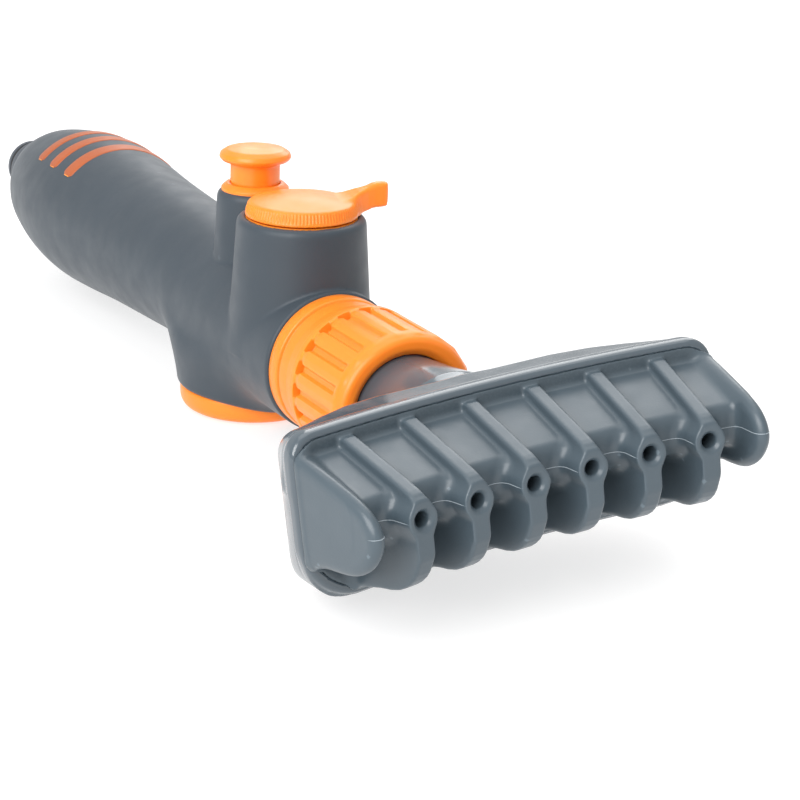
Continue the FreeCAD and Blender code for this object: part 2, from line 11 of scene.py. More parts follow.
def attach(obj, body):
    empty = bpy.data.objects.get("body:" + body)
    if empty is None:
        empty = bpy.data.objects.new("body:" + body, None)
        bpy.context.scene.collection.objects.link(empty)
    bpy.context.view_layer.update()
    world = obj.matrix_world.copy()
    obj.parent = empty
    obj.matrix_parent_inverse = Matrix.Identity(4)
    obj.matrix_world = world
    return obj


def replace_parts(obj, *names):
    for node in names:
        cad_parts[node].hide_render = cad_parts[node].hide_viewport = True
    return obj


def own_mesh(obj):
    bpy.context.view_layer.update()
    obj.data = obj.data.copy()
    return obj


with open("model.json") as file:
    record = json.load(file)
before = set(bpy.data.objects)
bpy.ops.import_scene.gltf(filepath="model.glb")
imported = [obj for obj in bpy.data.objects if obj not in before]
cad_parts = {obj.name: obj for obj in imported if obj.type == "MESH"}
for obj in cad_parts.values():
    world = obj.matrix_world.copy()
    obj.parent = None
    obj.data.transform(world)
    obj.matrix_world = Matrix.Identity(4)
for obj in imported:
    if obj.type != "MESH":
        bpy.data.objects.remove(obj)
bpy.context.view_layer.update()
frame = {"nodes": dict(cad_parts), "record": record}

MM = 0.001
FINE = 1.0

# Stations along Y, heights along Z and the head's sizes, as in the CAD
NOZZLE_Z = -2.0
HANDLE_REAR = -6.5
PLUNGER_Y = -155.1
DIAL_Y = -180.5
BODY_FRONT = -197.5
COLLAR_FRONT = -209.4
NUT_REAR = -209.8
SPIGOT_END = -222.0
NECK_END = -224.0
NUT_FRONT = -233.0
TOWER_RISE = 30.4
BUTTON_TOWER_RISE = 31.2
SKIRT_DROP = 17.4
TOWER_TOP = NOZZLE_Z + TOWER_RISE
BUTTON_TOWER_TOP = NOZZLE_Z + BUTTON_TOWER_RISE
CAP_BOTTOM = NOZZLE_Z - 23.2
SKIN = 2.0
HEAD_REACH = 61.5
BALL_R = 12.0
HEAD_PITCH = math.radians(6.6)
HEAD_ROLL = math.radians(4.92)
ARC_R = 202.0
JET_ANGLES = [12.75 / ARC_R * (i - 2.5) for i in range(6)]
LEVER_ANGLE = math.radians(-11.0)


# ---------------------------------------------------------------- distance fields
def smin(a, b, k):
    """Union of two fields with a fillet about k / 2 in radius."""
    h = np.maximum(k - np.abs(a - b), 0.0) / k
    return np.minimum(a, b) - h * h * k * 0.25


def smax(a, b, k):
    return -smin(-a, -b, k)


def softened(corners, rounds=2):
    """The closed outline with its corners cut, `rounds` times."""
    pts = np.array(corners, float)
    for _ in range(rounds):
        nxt = np.roll(pts, -1, axis=0)
        pts = np.stack([pts * 0.75 + nxt * 0.25, pts * 0.25 + nxt * 0.75], 1).reshape(-1, 2)
    return pts


def polygon(p, q, corners):
    """Signed distance in a plane to a closed outline."""
    best = np.full(np.shape(p), 1e9)
    inside = np.zeros(np.shape(p), bool)
    for (ax, ay), (bx, by) in zip(corners, np.roll(corners, -1, axis=0)):
        ex, ey = bx - ax, by - ay
        t = np.clip(((p - ax) * ex + (q - ay) * ey) / (ex * ex + ey * ey + 1e-12), 0, 1)
        best = np.minimum(best, (p - ax - ex * t) ** 2 + (q - ay - ey * t) ** 2)
        if ay != by:
            inside ^= ((ay > q) != (by > q)) & (p < ex * (q - ay) / ey + ax)
    return np.where(inside, -1.0, 1.0) * np.sqrt(best)


def curve_table(points):
    """Dense (y, r) samples of a smooth line through the given points."""
    pts = np.array(points, float)
    pts = np.vstack([2 * pts[0] - pts[1], pts, 2 * pts[-1] - pts[-2]])
    out = []
    for a, b, c, d in zip(pts, pts[1:], pts[2:], pts[3:]):
        for t in np.linspace(0, 1, 48, endpoint=False):
            out.append(0.5 * (2 * b + (c - a) * t + (2 * a - 5 * b + 4 * c - d) * t * t
                              + (3 * b - a - 3 * c + d) * t ** 3))
    out.append(pts[-2])
    return np.array(out)


# ---------------------------------------------------------------- mesh making
def sampled(field, low, high, step):
    """The field on a grid: every point near the surface, one value a block of points elsewhere."""
    block = 4
    blocks = np.ceil((high - low) / (step * block)).astype(int) + 1
    mids = [low[i] + (np.arange(blocks[i]) * block + 1.5) * step for i in range(3)]
    grid = field(*np.meshgrid(*mids, indexing="ij"))
    near = np.abs(grid) < 2.3 * block * step
    for axis in range(3):
        grid, near = grid.repeat(block, axis), near.repeat(block, axis)
    at = np.nonzero(near)
    grid[near] = field(*[low[i] + at[i] * step for i in range(3)])
    return grid


def crossed_cells(grid):
    """Cells that the surface passes through, each with the mean of its edge crossings, in grid steps."""
    inside = grid < 0
    corners = [(i, j, k) for i in (0, 1) for j in (0, 1) for k in (0, 1)]
    sizes = [n - 1 for n in grid.shape]
    count = sum(inside[i:i + sizes[0], j:j + sizes[1], k:k + sizes[2]].astype(np.int8) for i, j, k in corners)
    active = (count > 0) & (count < 8)
    cells = np.argwhere(active)
    total, hits = np.zeros((len(cells), 3)), np.zeros(len(cells))
    for a in corners:
        for axis in range(3):
            if a[axis]:
                continue
            b = tuple(c + (n == axis) for n, c in enumerate(a))
            fa, fb = grid[tuple((cells + a).T)], grid[tuple((cells + b).T)]
            cut = (fa < 0) != (fb < 0)
            t = fa[cut] / (fa[cut] - fb[cut])
            total[cut] += np.array(a) + t[:, None] * (np.array(b) - np.array(a))
            hits[cut] += 1
    return active, cells + total / hits[:, None]


def cell_quads(inside, active):
    """One quad round each grid edge that the surface cuts, wound to face outward."""
    number = np.full(active.shape, -1, np.int64)
    number[active] = np.arange(active.sum())
    quads = []
    for axis in range(3):
        one, two = (axis + 1) % 3, (axis + 2) % 3
        first, second = [slice(1, -1)] * 3, [slice(1, -1)] * 3
        first[axis], second[axis] = slice(0, -1), slice(1, None)
        a, b = inside[tuple(first)], inside[tuple(second)]
        base = np.argwhere(a != b)
        outward = a[tuple(base.T)]
        base[:, [one, two]] += 1
        ring = []
        for d1, d2 in ((-1, -1), (0, -1), (0, 0), (-1, 0)):
            c = base.copy()
            c[:, one] += d1
            c[:, two] += d2
            ring.append(number[tuple(c.T)])
        ring = np.stack(ring, 1)
        ring[~outward] = ring[~outward][:, ::-1]
        quads.append(ring)
    return np.concatenate(quads)


def field_mesh(field, low, high, step):
    """Quad mesh of the surface where field(x, y, z) is 0, its points drawn onto the surface."""
    low, high = np.array(low, float), np.array(high, float)
    grid = sampled(field, low, high, step)
    active, places = crossed_cells(grid)
    points = low + places * step
    for _ in range(3):
        h = step * 0.2
        value = field(*points.T)
        slope = np.stack([field(*(points + np.eye(3)[i] * h).T) - field(*(points - np.eye(3)[i] * h).T)
                          for i in range(3)], 1) / (2 * h)
        move = value[:, None] * slope / np.maximum((slope ** 2).sum(1), 0.15)[:, None]
        size = np.sqrt((move ** 2).sum(1))[:, None]
        points = points - move * np.minimum(1, 0.7 * step / np.maximum(size, 1e-9))
    return points, cell_quads(grid < 0, active)


def field_normals(field, points, reach):
    """Unit slopes of the field at the points, each taken over 2 * reach."""
    slope = np.stack([field(*(points + np.eye(3)[i] * reach).T) - field(*(points - np.eye(3)[i] * reach).T)
                      for i in range(3)], 1)
    return slope / np.linalg.norm(slope, axis=1)[:, None]


def make_piece(name, points, faces, body, material, sharp=None, marks=None, normals=None):
    """A smooth mesh in metres on a body. sharp: edges over that angle stay hard; marks: where grain shows."""
    mesh = bpy.data.meshes.new(name)
    mesh.from_pydata((np.asarray(points) * MM).tolist(), [], [list(map(int, face)) for face in faces])
    mesh.validate()
    mesh.shade_smooth()
    if normals is not None:
        mesh.normals_split_custom_set_from_vertices(normals.tolist())
    if sharp:
        mesh.set_sharp_from_angle(angle=math.radians(sharp))
    if marks is not None:
        layer = mesh.attributes.new("grain", "FLOAT", "POINT")
        layer.data.foreach_set("value", np.asarray(marks, np.float32))
    mesh.materials.append(material)
    piece = bpy.data.objects.new(name, mesh)
    bpy.context.scene.collection.objects.link(piece)
    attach(piece, body)
    return piece


def ribbon(rows):
    """Closed mesh from rows of points that each run round a small section."""
    rows = np.array(rows)
    count, around = rows.shape[:2]
    faces = []
    for i in range(count - 1):
        for j in range(around):
            k = (j + 1) % around
            faces.append([i * around + j, i * around + k, (i + 1) * around + k, (i + 1) * around + j])
    faces += [list(range(around))[::-1], list(range((count - 1) * around, count * around))]
    return rows.reshape(-1, 3), faces


def rounded_profile(corners):
    """A closed outline from (a, b, radius) corners, each corner an arc of its radius."""
    pts = np.array([c[:2] for c in corners], float)
    out = []
    for i, (_, _, radius) in enumerate(corners):
        p, a, b = pts[i], pts[i - 1], pts[(i + 1) % len(pts)]
        ua, ub = (a - p) / np.linalg.norm(a - p), (b - p) / np.linalg.norm(b - p)
        half = math.acos(max(-1, min(1, float(ua @ ub)))) / 2
        reach = radius / math.tan(half) if radius else 0
        reach = min(reach, 0.49 * np.linalg.norm(a - p), 0.49 * np.linalg.norm(b - p))
        if reach < 1e-4:
            out.append(p)
            continue
        start, end = p + ua * reach, p + ub * reach
        for t in np.linspace(0, 1, 6):
            out.append((1 - t) ** 2 * start + 2 * t * (1 - t) * p + t * t * end)
    return np.array(out)


def closer_points(profile, gap):
    """The closed outline with no run longer than `gap`."""
    out = []
    for a, b in zip(profile, np.roll(profile, -1, axis=0)):
        n = max(1, math.ceil(np.linalg.norm(b - a) / gap))
        out += [a + (b - a) * t for t in np.arange(n) / n]
    return np.array(out)


def turned(profile, segments, place, shape=None):
    """Closed solid of revolution; shape(radius, along, angle) may change the radius."""
    angle = np.arange(segments) * 2 * math.pi / segments
    r = np.repeat(profile[:, 0][None, :], segments, 0)
    a = np.repeat(profile[:, 1][None, :], segments, 0)
    t = np.repeat(angle[:, None], len(profile), 1)
    if shape:
        r = shape(r, a, t)
    points = place(r, a, t).reshape(-1, 3)
    n = len(profile)
    i, j = np.meshgrid(np.arange(segments), np.arange(n), indexing="ij")
    i2, j2 = (i + 1) % segments, (j + 1) % n
    quads = np.stack([i * n + j, i * n + j2, i2 * n + j2, i2 * n + j], -1).reshape(-1, 4)
    r0, a0 = profile.T
    area = 0.5 * np.sum(r0 * np.roll(a0, -1) - np.roll(r0, -1) * a0)
    return points, quads, area


def turned_y(profile, segments=160, z=NOZZLE_Z, shape=None):
    points, quads, area = turned(profile, segments, lambda r, a, t: np.stack(
        [r * np.sin(t), a, z + r * np.cos(t)], -1), shape)
    return points, quads if area < 0 else quads[:, ::-1]


def turned_z(profile, y, segments=128, shape=None):
    points, quads, area = turned(profile, segments, lambda r, a, t: np.stack(
        [r * np.cos(t), y + r * np.sin(t), a], -1), shape)
    return points, quads if area > 0 else quads[:, ::-1]


# ---------------------------------------------------------------- materials
def node(tree, kind, **values):
    n = tree.nodes.new(kind)
    for key, value in values.items():
        if hasattr(n, key):
            setattr(n, key, value)
        else:
            n.inputs[key.replace("_", " ")].default_value = value
    return n


def linear(rgb):
    return [c / 12.92 if c <= 0.04045 else ((c + 0.055) / 1.055) ** 2.4 for c in (v / 255 for v in rgb)]


def joined(tree, value, socket):
    """Feeds a socket from another socket, or sets it to a plain value."""
    if isinstance(value, bpy.types.NodeSocket):
        tree.links.new(value, socket)
    else:
        socket.default_value = value


def noise(tree, coord, size_mm, detail, rough=0.5):
    n = node(tree, "ShaderNodeTexNoise", Scale=1000.0 / size_mm, Detail=detail, Roughness=rough)
    tree.links.new(coord, n.inputs["Vector"])
    return n.outputs["Fac"]


def ranged(tree, value, low, high, start=0.3, stop=0.7):
    """low to high as value goes from start to stop."""
    n = node(tree, "ShaderNodeMapRange", clamp=True)
    for socket, v in zip(n.inputs, (value, start, stop, low, high)):
        joined(tree, v, socket)
    return n.outputs[0]


def mixed(tree, factor, first, second):
    n = node(tree, "ShaderNodeMix", data_type="RGBA")
    tree.links.new(factor, n.inputs["Factor"])
    for key, side in (("A", first), ("B", second)):
        joined(tree, side, n.inputs[key])
    return n.outputs["Result"]


def arithmetic(tree, operation, *values):
    n = node(tree, "ShaderNodeMath", operation=operation)
    for value, socket in zip(values, n.inputs):
        joined(tree, value, socket)
    return n.outputs[0]


def rgba(colour):
    return (*np.clip(colour, 0, 1), 1)


def painted_edge_light_and_crease_shade(tree, colour, base, painted_light_strength):
    """Painted highlight: paler on sharp edges. Painted shade: darker in creases."""
    edge = tree.nodes.new("ShaderNodeNewGeometry").outputs["Pointiness"]
    pale = mixed(tree, ranged(tree, edge, 0, painted_light_strength, 0.545, 0.62), colour, rgba(base * 1.9 + 0.05))
    return mixed(tree, ranged(tree, edge, painted_light_strength, 0, 0.39, 0.455), pale, rgba(base * 0.55))


def speckles(tree, coord):
    """0 to 1 in small cells, where the mesh's grain attribute is set."""
    at = node(tree, "ShaderNodeAttribute", attribute_name="grain").outputs["Fac"]
    cells = node(tree, "ShaderNodeTexVoronoi", Scale=1000.0 / 0.55, feature="F1")
    tree.links.new(coord, cells.inputs["Vector"])
    return arithmetic(tree, "MULTIPLY", at, ranged(tree, cells.outputs["Distance"], 0.0, 0.7, 0.15, 0.6))


def drawn_lines(tree, coord):
    """Fine lines along Y, as drawn wire has."""
    stretched = node(tree, "ShaderNodeMapping")
    stretched.inputs["Scale"].default_value = (1.0, 0.08, 1.0)
    tree.links.new(coord, stretched.inputs["Vector"])
    return noise(tree, stretched.outputs[0], 0.7, 2.0)


def moulded(name, rgb, rough, grain_mm, grain_depth, mottle=0.06, painted_light_strength=0.0, subsurface=0.0, marks=False,
            scratch=0.0, specular=0.5, sheen=0.0, metallic=0.0):
    """Moulded plastic: cloudy colour, fine grain, uneven gloss, painted highlights on sharp edges and painted
    shade in creases, speckles where marks are set.
    """
    mat = bpy.data.materials.new(name)
    mat.use_nodes = True
    tree = mat.node_tree
    tree.nodes.clear()
    out = tree.nodes.new("ShaderNodeOutputMaterial")
    shader = tree.nodes.new("ShaderNodeBsdfPrincipled")
    tree.links.new(shader.outputs[0], out.inputs[0])
    shader.inputs["Specular IOR Level"].default_value = specular
    shader.inputs["Metallic"].default_value = metallic
    if sheen:
        shader.inputs["Sheen Weight"].default_value = sheen
        shader.inputs["Sheen Roughness"].default_value = 0.4
    if subsurface:
        shader.inputs["Subsurface Weight"].default_value = subsurface
        shader.inputs["Subsurface Radius"].default_value = (0.004, 0.0016, 0.0006)
        shader.inputs["Subsurface Scale"].default_value = 1.0
    coord = tree.nodes.new("ShaderNodeTexCoord").outputs["Object"]
    base = np.array(linear(rgb))
    colour = mixed(tree, ranged(tree, noise(tree, coord, 22.0, 4.0), 0, 1), rgba(base * (1 - mottle)),
                   rgba(base * (1 + mottle)))
    # painted highlight on sharp edges and painted shade in creases, from the mesh's pointiness
    if painted_light_strength:
        colour = painted_edge_light_and_crease_shade(tree, colour, base, painted_light_strength)
    height = noise(tree, coord, grain_mm, 3.0, 0.6)
    if marks:
        pits = speckles(tree, coord)
        colour = mixed(tree, pits, colour, rgba(base * 0.82))
        height = arithmetic(tree, "SUBTRACT", height, pits)
    if scratch:
        height = arithmetic(tree, "MULTIPLY_ADD", drawn_lines(tree, coord), scratch, height)
    tree.links.new(colour, shader.inputs["Base Color"])
    gloss = ranged(tree, noise(tree, coord, 6.0, 5.0), rough - 0.06, rough + 0.07)
    tree.links.new(gloss, shader.inputs["Roughness"])
    bump = node(tree, "ShaderNodeBump", Strength=0.6, Distance=grain_depth * MM)
    tree.links.new(height, bump.inputs["Height"])
    tree.links.new(bump.outputs[0], shader.inputs["Normal"])
    return mat


# The edge-and-crease amounts below set each material's painted highlight on sharp edges and painted shade in
# creases.
GRIP = moulded("soft_grip", (55, 64, 72), 0.5, 0.45, 0.02, mottle=0.05, painted_light_strength=0.25, specular=0.42, sheen=0.08)
HEAD = moulded("head_plastic", (72, 84, 92), 0.34, 0.5, 0.025, mottle=0.05, painted_light_strength=0.5, marks=True)
GLOSS = moulded("head_plastic_smooth", (72, 83, 91), 0.16, 0.5, 0.01, mottle=0.04, painted_light_strength=0.3, specular=0.8)
PLUG = moulded("plug_plastic", (66, 72, 80), 0.42, 0.5, 0.02, mottle=0.05)
ORANGE = moulded("orange_plastic", (251, 133, 30), 0.36, 0.8, 0.015, mottle=0.05, painted_light_strength=0.2, subsurface=0.25)
STRIPE = moulded("orange_inlay", (168, 84, 40), 0.45, 0.5, 0.02, mottle=0.08, subsurface=0.1)
FLASH = moulded("moulding_flash", (150, 160, 167), 0.5, 0.3, 0.02, mottle=0.12)
WHITE = moulded("white_acetal", (226, 226, 220), 0.35, 0.5, 0.01, mottle=0.03)
BLACK = moulded("seal_rubber", (28, 28, 29), 0.55, 0.3, 0.02, mottle=0.15)
STEEL = moulded("spring_wire", (172, 172, 176), 0.28, 0.3, 0.01, mottle=0.08, scratch=0.4, metallic=1.0)

SLOT_LOOK = {"soft_grey": GRIP, "orange": ORANGE, "head_grey": HEAD, "plug_grey": PLUG, "white_acetal": WHITE,
             "seal_black": BLACK, "spring_steel": STEEL}
for part in frame["record"]["subparts"]:
    cad = frame["nodes"][part["node"]]
    cad.data.materials.clear()
    cad.data.materials.append(SLOT_LOOK[part["material_slot"]])


# ---------------------------------------------------------------- soft grip
TRUNK = curve_table([(-199.0, 16.7), (-185.0, 16.8), (-155.0, 17.0), (-140.0, 16.9), (-128.0, 16.9),
                     (-107.0, 17.95), (-88.25, 19.0), (-69.5, 20.45), (-54.5, 21.1), (-39.5, 20.2),
                     (-24.5, 17.8), (-17.0, 15.7), (-12.5, 13.95), (-8.75, 11.85), (-6.5, 9.75), (-5.0, 7.8)])
TRUNK_SLOPE = np.gradient(TRUNK[:, 1], TRUNK[:, 0])


def trunk_radius(y):
    return np.interp(y, TRUNK[:, 0], TRUNK[:, 1])


def trunk_axis(y):
    """Height of the middle: the handle's axis is at 0 and eases down to the barrel's."""
    t = np.clip((y + 150.0) / 26.0, 0, 1)
    return NOZZLE_Z * (1 - t * t * (3 - 2 * t))


def body_field(x, y, z, skin, reach):
    """Handle, barrel, both towers and the skirt, `skin` under the surface, open ends `reach` longer."""
    slope = np.interp(y, TRUNK[:, 0], TRUNK_SLOPE)
    trunk = (np.hypot(x, z - trunk_axis(y)) - trunk_radius(y) + skin) / np.sqrt(1 + slope * slope)
    trunk = smax(trunk, BODY_FRONT - reach - y, 0.8)
    trunk = smax(trunk, y - HANDLE_REAR - reach, 1.2)
    up = z - NOZZLE_Z
    tower = np.hypot(x, y - DIAL_Y) - (16.9 - 0.066 * up) + skin
    tower = smax(smax(tower, up - TOWER_RISE - reach, 1.8), -1.0 - up, 0.5)
    button = np.hypot(x, y - PLUNGER_Y) - (10.6 - 0.0513 * up) + skin
    button = smax(smax(button, up - BUTTON_TOWER_RISE - reach, 2.0), -up, 0.5)
    skirt = np.hypot(x, y - PLUNGER_Y) - 18.6 + skin
    skirt = smax(smax(skirt, -SKIRT_DROP - reach - up, 1.6), up + 7.0, 3.0)
    d = smin(trunk, skirt, 9.0)
    d = smin(d, tower, 0.5)
    return smin(d, button, 0.5)


def grip_field(x, y, z):
    """The soft skin: the outer form less the core that it covers."""
    return smax(body_field(x, y, z, 0.0, 0.0), -body_field(x, y, z, SKIN, 2.0), 0.5)


points, faces = field_mesh(grip_field, (-23, -199.5, -22), (23, -4, 31), 0.6 * FINE)
grip = make_piece("grip_skin", points, faces, "body", GRIP,
                  normals=field_normals(grip_field, points, 0.45))
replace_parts(grip, "grip_overmould")


def grip_stripe(name, station):
    """One raised bar over the top of the handle, rounded at its ends and edges."""
    half_angle, half_width, proud = math.radians(48.0), 2.6, 0.3
    rows = []
    for t in np.linspace(-1, 1, 97):
        angle = t * half_angle
        end = max(0.0, abs(t) - 0.91) / 0.09
        narrow = math.sqrt(max(0.02, 1 - end ** 3))
        row = []
        for s, lift in ((-1, -0.6), (-1, 0.0), (-0.94, 0.5), (-0.8, 0.85), (-0.4, 1.0), (0, 1.02), (0.4, 1.0),
                        (0.8, 0.85), (0.94, 0.5), (1, 0.0), (1, -0.6)):
            y = station + s * half_width * narrow
            r = trunk_radius(y) + proud * lift * (narrow if lift > 0 else 1)
            row.append([r * math.sin(angle), y, r * math.cos(angle)])
        rows.append(row)
    points, faces = ribbon(rows)
    make_piece(name, points, faces, "body", STRIPE, sharp=50)


for number, station in enumerate((-43.7, -54.5, -65.3), 1):
    grip_stripe(f"grip_stripe_{number}", station)


# ---------------------------------------------------------------- head
# Outlines in the head's own frame: x across, w back from the middle jet, v up. GALLERY, BLADE, GUARD and
# FAN_SIDE are side views (w, v); DECK_PLAN and FAN_PLAN are half plans (x, w).
COVER_INSET = 1.58
JET_R = 1.5
GALLERY = softened([(24.0, 10.7), (21.8, 10.1), (8.8, 5.3), (6.9, 4.5), (6.3, 2.6), (6.6, 0.0), (6.8, -2.2),
                    (9.6, -4.8), (24.0, -6.0)], 2)
BLADE = softened([(30.0, 12.2), (20.8, 12.0), (19.6, 11.5), (3.0, 5.5), (0.9, 4.5), (-0.9, 2.2), (-1.2, -5.0),
                  (0.6, -8.6), (2.2, -11.4), (5.0, -13.7), (8.6, -15.2), (15.0, -16.0), (30.0, -19.5)], 1)
GUARD = softened([(26.0, 13.6), (18.5, 11.4), (13.0, 10.1), (6.5, 8.3), (0.5, 6.5), (-3.2, 4.8), (-5.6, 2.4),
                  (-6.6, -0.4), (-6.0, -2.9), (-4.2, -5.4), (-1.8, -7.4), (2.0, -9.1), (6.0, -9.7),
                  (12.8, -9.9), (18.5, -12.4), (26.0, -17.0)], 2)
TOE_IN = math.radians(8.2)
FAN_SIDE = np.array([(5, 14.2), (24, 14.2), (34, 10.8), (57, 4.9), (57, -9.0), (30, -21.4), (24, -20.2),
                     (5, -19.0)])
DECK_PLAN = np.array([(-5, 0), (46.6, 0), (46.6, 22.6), (41.7, 25.6), (35.2, 30.5), (28.6, 33.8),
                      (20.0, 35.6), (-5, 35.6)])
FAN_PLAN = np.array([(-5, 0), (46.6, 0), (46.6, 23.4), (44.4, 30.5), (37.5, 42), (22.5, 48), (12, 54),
                     (8, 58), (-5, 58)])


def arc_depth(x, w):
    """How far back of the arc through the jets' mouths."""
    return np.hypot(x, w + ARC_R) - ARC_R


def front_outline(x, v, inset, drop=0.0):
    """The head's outline seen from the front: small corners above, round belly below."""
    half, top, bottom = 47.6 - inset, 14.6 - inset, -19.5 + inset - drop
    middle, tall = (top + bottom) / 2, (top - bottom) / 2
    r = np.where(v > middle, 5.0 - inset / 2, 13.0)
    p, q = np.abs(x) - half + r, np.abs(v - middle) - tall + r
    return np.minimum(np.maximum(p, q), 0) + np.hypot(np.maximum(p, 0), np.maximum(q, 0)) - r


def fin_field(across, w, v, bored):
    """One fin about its own jet: blade, round boss on the jet's axis, flat front, bored and countersunk."""
    thick = 1.6 + 0.35 * np.clip(-v / 4, 0, 1)
    blade = smax(polygon(w, v, BLADE), across - thick, 0.7)
    boss = np.hypot(across, v - 0.1) - 3.25 - 0.02 * w
    boss = smax(boss, -w - 1.0, 0.2)
    solid = smax(smin(blade, boss, 1.5), -w, 0.3)
    if not bored:
        return solid
    bore = np.hypot(across, v - 0.1) - JET_R - np.clip(0.8 - w, 0, 1.5)
    return smax(solid, -np.maximum(bore, w - 14), 0.12)


def comb_field(x, w, v, bored=True):
    """Cover plate, water gallery, fins and end guards; without its jet holes if not bored."""
    rho = arc_depth(x, w)
    side = np.abs(x)
    toe_in, lean = math.cos(TOE_IN), math.sin(TOE_IN)
    off = (side - 46.0) * toe_in - (w - 19.5) * lean
    along = (side - 46.0) * lean + (w - 19.5) * toe_in + 19.5
    cover = smax(front_outline(x, v, COVER_INSET), np.abs(rho - 23.0) - 1.0, 0.15)
    gallery = smax(polygon(rho, v, GALLERY), off, 0.5)
    guard = smax(polygon(along, v, GUARD), np.abs(off) - 1.65, 2.6)
    d = smin(cover, gallery, 0.8)
    for angle in JET_ANGLES:
        c, s = math.cos(angle), math.sin(angle)
        across = np.abs(x * c - (w + ARC_R) * s)
        near = across < 9.0
        depth = x[near] * s + (w[near] + ARC_R) * c - ARC_R
        d[near] = smin(d[near], fin_field(across[near], depth, v[near], bored),
                       0.8 + 1.8 * np.clip((5.5 - v[near]) / 2, 0, 1))
        if bored:
            bore = np.hypot(across[near], v[near] - 0.1) - JET_R
            d[near] = np.maximum(d[near], -np.maximum(bore, depth - 14))
    d = smin(d, guard, 2.2)
    d = np.maximum(d, rho - 24.0)
    rim = np.maximum(-front_outline(x, v, COVER_INSET), 22.04 - rho)
    return smax(d, -rim, 0.05)


def head_to_world(points):
    """From the head's own frame (x, w back from the middle jet, v up) to the nozzle's."""
    p = np.array(points, float) - (0, HEAD_REACH, 0)
    turn = Matrix.Rotation(-HEAD_ROLL, 3, "Y") @ Matrix.Rotation(-HEAD_PITCH, 3, "X")
    return p @ np.array(turn).T + (0, NUT_FRONT, NOZZLE_Z)


def world_in_head(x, w, v):
    """The nozzle's coordinates of points given in the head's frame, in the shape they came in."""
    flat = head_to_world(np.stack([np.ravel(x), np.ravel(w), np.ravel(v)], 1))
    return [c.reshape(np.shape(x)) for c in flat.T]


def manifold_field(x, w, v):
    """Rim, fan-shaped water box with its deck, neck, and the ball and ring groove inside the nut."""
    rho = arc_depth(x, w)
    flange = smax(front_outline(x, v, 0.0), np.abs(rho - 24.25) - 2.25, 1.7)
    fan = smax(polygon(w, v, FAN_SIDE), polygon(np.abs(x), w, FAN_PLAN), 5.0)
    deck_side = polygon(np.abs(x), w, DECK_PLAN) - np.clip(13.0 - v, 0, 8) * 0.35
    deck = smax(deck_side, v - 14.2 + 0.06 * (w - 24), 1.2)
    fan = smin(fan, np.maximum(deck, 2.0 - v), 2.0)
    fan = smax(smax(fan, front_outline(x, v, 0.6, 2.2), 2.0), 24.0 - rho, 0.3)
    radius = 12.0 - 2.7 * np.clip((42.0 - w) / 9.0, 0, 1)
    neck = smax(np.hypot(x, v) - radius, np.maximum(34.0 - w, w - HEAD_REACH), 1.0)
    d = smin(smin(flange, fan, 1.2), neck, 5.0)
    gx, gy, gz = world_in_head(x, w, v)
    ball = np.sqrt(gx ** 2 + (gy - NUT_FRONT) ** 2 + (gz - NOZZLE_Z) ** 2) - BALL_R
    straight = np.maximum(np.hypot(gx, gz - NOZZLE_Z) - BALL_R, np.maximum(NUT_FRONT - gy, gy - NECK_END))
    groove = np.maximum(11.2 - np.hypot(gx, gz - NOZZLE_Z), np.abs(gy + 227.25) - 1.0)
    d = np.minimum(d, np.maximum(np.minimum(np.maximum(ball, gy - NUT_FRONT), straight), -groove))
    recess = np.maximum(front_outline(x, v, COVER_INSET), rho - 24.1)
    return smax(d, -recess, 0.12)


points, faces = field_mesh(comb_field, (-50, -8, -21), (50, 25.5, 15.5), 0.36 * FINE)
on_cover = np.clip(1 - np.abs(arc_depth(points[:, 0], points[:, 1]) - 22.0) / 0.25, 0, 1)
comb = make_piece("comb_face", head_to_world(points), faces, "head", HEAD, marks=on_cover)
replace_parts(comb, "comb_front")
points, faces = field_mesh(manifold_field, (-50, 17, -24), (50, 73, 16.5), 0.45 * FINE)
manifold = make_piece("head_box", head_to_world(points), faces, "head", GLOSS)
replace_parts(manifold, "head_manifold")


def crossings(field, low, high, step):
    """Short segments of the lines where a plane field is 0: pairs of (grid edge, point)."""
    axes = [np.arange(low[i], high[i], step) for i in (0, 1)]
    values = field(*np.meshgrid(*axes, indexing="ij"))
    inside = values < 0
    mixed_cells = ((inside[:-1, :-1] != inside[1:, 1:]) | (inside[1:, :-1] != inside[:-1, 1:])
                   | (inside[:-1, :-1] != inside[1:, :-1]))
    segments = []
    for i, j in np.argwhere(mixed_cells):
        corner = [(i, j), (i + 1, j), (i + 1, j + 1), (i, j + 1)]
        hits = []
        for a, b in zip(corner, corner[1:] + corner[:1]):
            fa, fb = values[a], values[b]
            if (fa < 0) != (fb < 0):
                t = fa / (fa - fb)
                spot = [axes[n][a[n]] + (axes[n][b[n]] - axes[n][a[n]]) * t for n in (0, 1)]
                hits.append(((min(a, b), max(a, b)), spot))
        if len(hits) == 2:
            segments.append(hits)
    return segments


def chained(segments):
    """The segments joined into lines, open ones first, each a list of points."""
    ends = {}
    for n, pair in enumerate(segments):
        for key, _ in pair:
            ends.setdefault(key, []).append(n)
    used, lines = set(), []
    starts = [n for n, pair in enumerate(segments) if any(len(ends[k]) == 1 for k, _ in pair)]
    for first in starts + list(range(len(segments))):
        if first in used:
            continue
        pair = segments[first]
        if len(ends[pair[0][0]]) != 1 and len(ends[pair[1][0]]) == 1:
            pair = pair[::-1]
        used.add(first)
        line, key = [pair[0][1], pair[1][1]], pair[1][0]
        following = [n for n in ends[key] if n not in used]
        while following:
            used.add(following[0])
            a, b = segments[following[0]]
            key, spot = (b if a[0] == key else a)
            line.append(spot)
            following = [n for n in ends[key] if n not in used]
        lines.append(np.array(line))
    return lines


